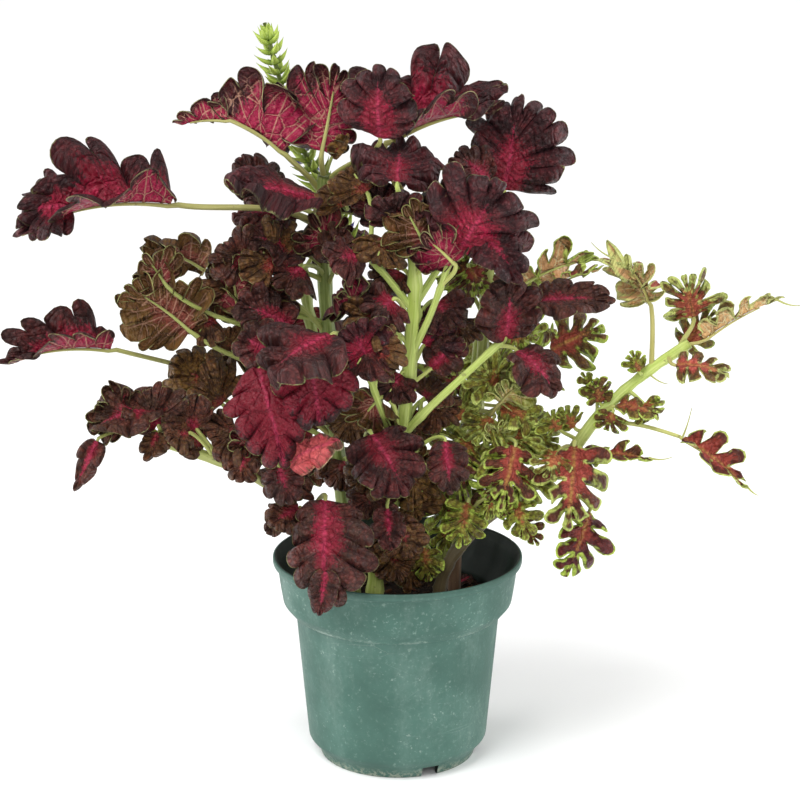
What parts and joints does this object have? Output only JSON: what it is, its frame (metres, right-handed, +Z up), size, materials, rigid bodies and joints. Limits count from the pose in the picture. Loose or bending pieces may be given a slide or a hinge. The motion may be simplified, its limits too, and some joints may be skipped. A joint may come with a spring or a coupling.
{
  "type": "potted coleus plant",
  "caption": "Bushy potted foliage plant with ruffled dark leaves, finely cut green-edged leaves and a slim flower spike, in a round tapered nursery pot.",
  "frame": {"origin": "middle of the pot's foot, on the surface that it stands on", "axes": "+Z up along the pot's axis, +X to the right and +Y to the back as the plant is seen from its front, so the foliage spreads furthest along X"},
  "size_m": [0.4604, 0.1875, 0.4463],
  "materials": {
    "pot_plastic": "dusty teal green moulded plastic, scuffed",
    "soil": "coarse dark potting soil with bark crumbs, matte",
    "ruffled_leaf": "puckered maroon blade with crimson heart and pale green stems",
    "cut_leaf": "maroon blade with salmon heart and lime green edge",
    "green_spike": "fresh light green bracts and stem"
  },
  "bodies": {
    "root": {"nursery_pot": "pot_plastic", "potting_soil": "soil", "front_leafy_stem": "ruffled_leaf", "left_leafy_stem": "ruffled_leaf", "low_left_leafy_stem": "ruffled_leaf", "right_leafy_stem": "cut_leaf", "right_branch_leafy_stem": "cut_leaf", "back_left_leafy_stem": "ruffled_leaf", "back_right_leafy_stem": "cut_leaf", "flower_spike_stem": "green_spike", "fallen_leaf_1": "ruffled_leaf", "fallen_leaf_2": "ruffled_leaf", "fallen_leaf_3": "ruffled_leaf"}
  },
  "joints": []
}
